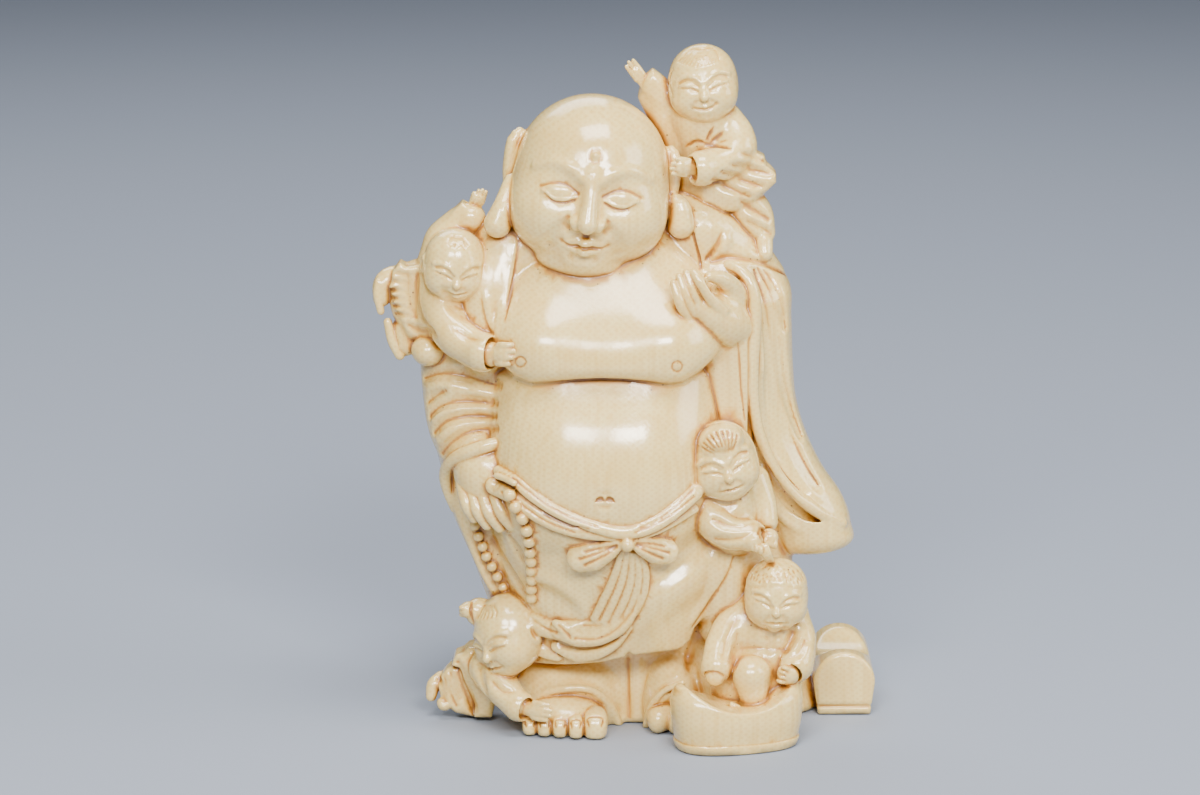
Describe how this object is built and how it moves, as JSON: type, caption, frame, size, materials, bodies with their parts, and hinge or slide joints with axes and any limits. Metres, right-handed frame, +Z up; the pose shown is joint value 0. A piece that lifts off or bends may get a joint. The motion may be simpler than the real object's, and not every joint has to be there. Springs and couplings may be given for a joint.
{
  "type": "carved budai figure",
  "caption": "Standing robed figure with children climbing on it, beads, a bow and boat-shaped ingots, carved in one piece.",
  "frame": {"origin": "on the ground, under the middle of the figure's bounding box", "axes": "+Z up; the figure faces -Y; +X is to a viewer's right"},
  "size_m": [0.111, 0.069, 0.1501],
  "materials": {
    "ivory": "polished ivory, soft gloss, stained brown in the grooves"
  },
  "bodies": {
    "root": {"budai_figure": "ivory"}
  },
  "joints": []
}
